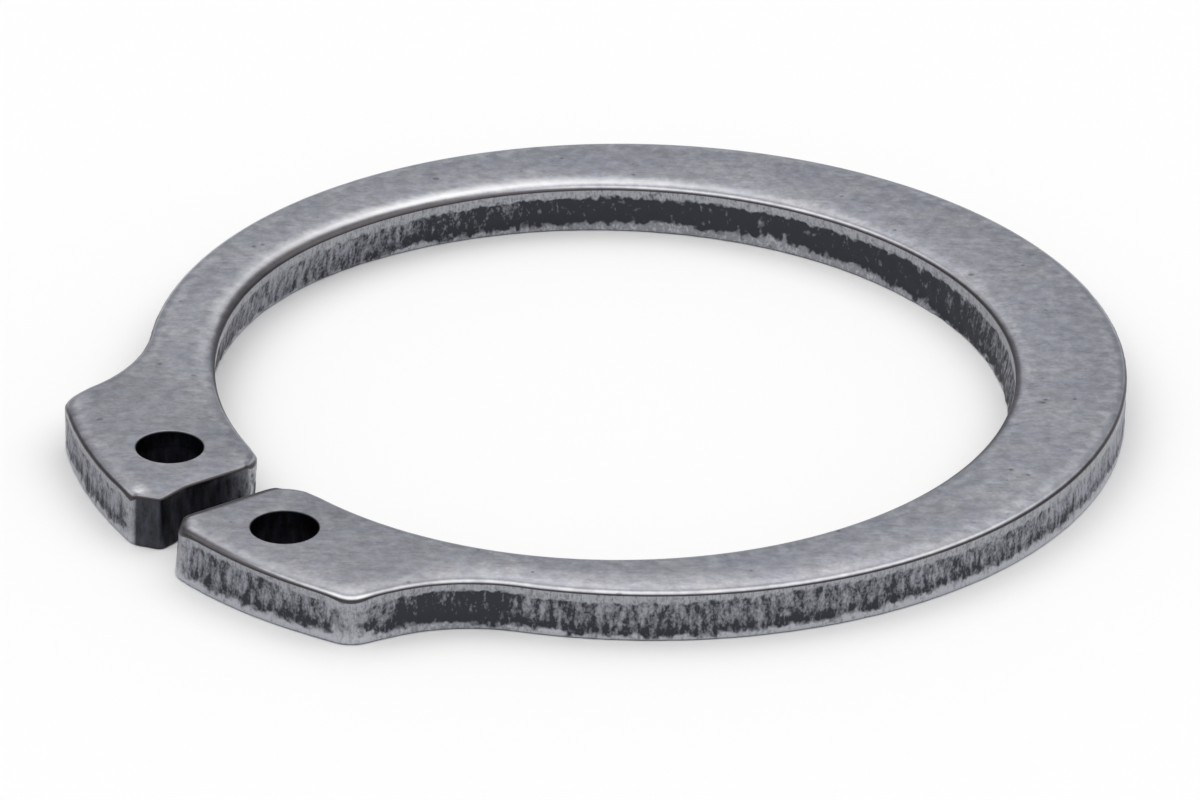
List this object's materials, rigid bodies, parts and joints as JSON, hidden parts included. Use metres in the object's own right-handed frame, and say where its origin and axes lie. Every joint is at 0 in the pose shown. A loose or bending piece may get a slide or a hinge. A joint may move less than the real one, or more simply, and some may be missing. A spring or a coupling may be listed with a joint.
{
  "type": "external retaining ring",
  "caption": "C-shaped heavy external circlip for a shaft groove: a tapering spring-steel beam that ends in plier lugs, each with a round hole.",
  "frame": {"origin": "centre of the bore on the ring's lower face", "axes": "+Z along the bore axis, up through the strip's thickness; -Y through the gap between the lugs; +X towards the lug with the whole corner"},
  "size_m": [0.0362, 0.0395, 0.002],
  "materials": {
    "spring_steel": "tumbled satin grey, with sheared edge walls"
  },
  "bodies": {
    "root": {"retaining_ring": "spring_steel"}
  },
  "joints": []
}
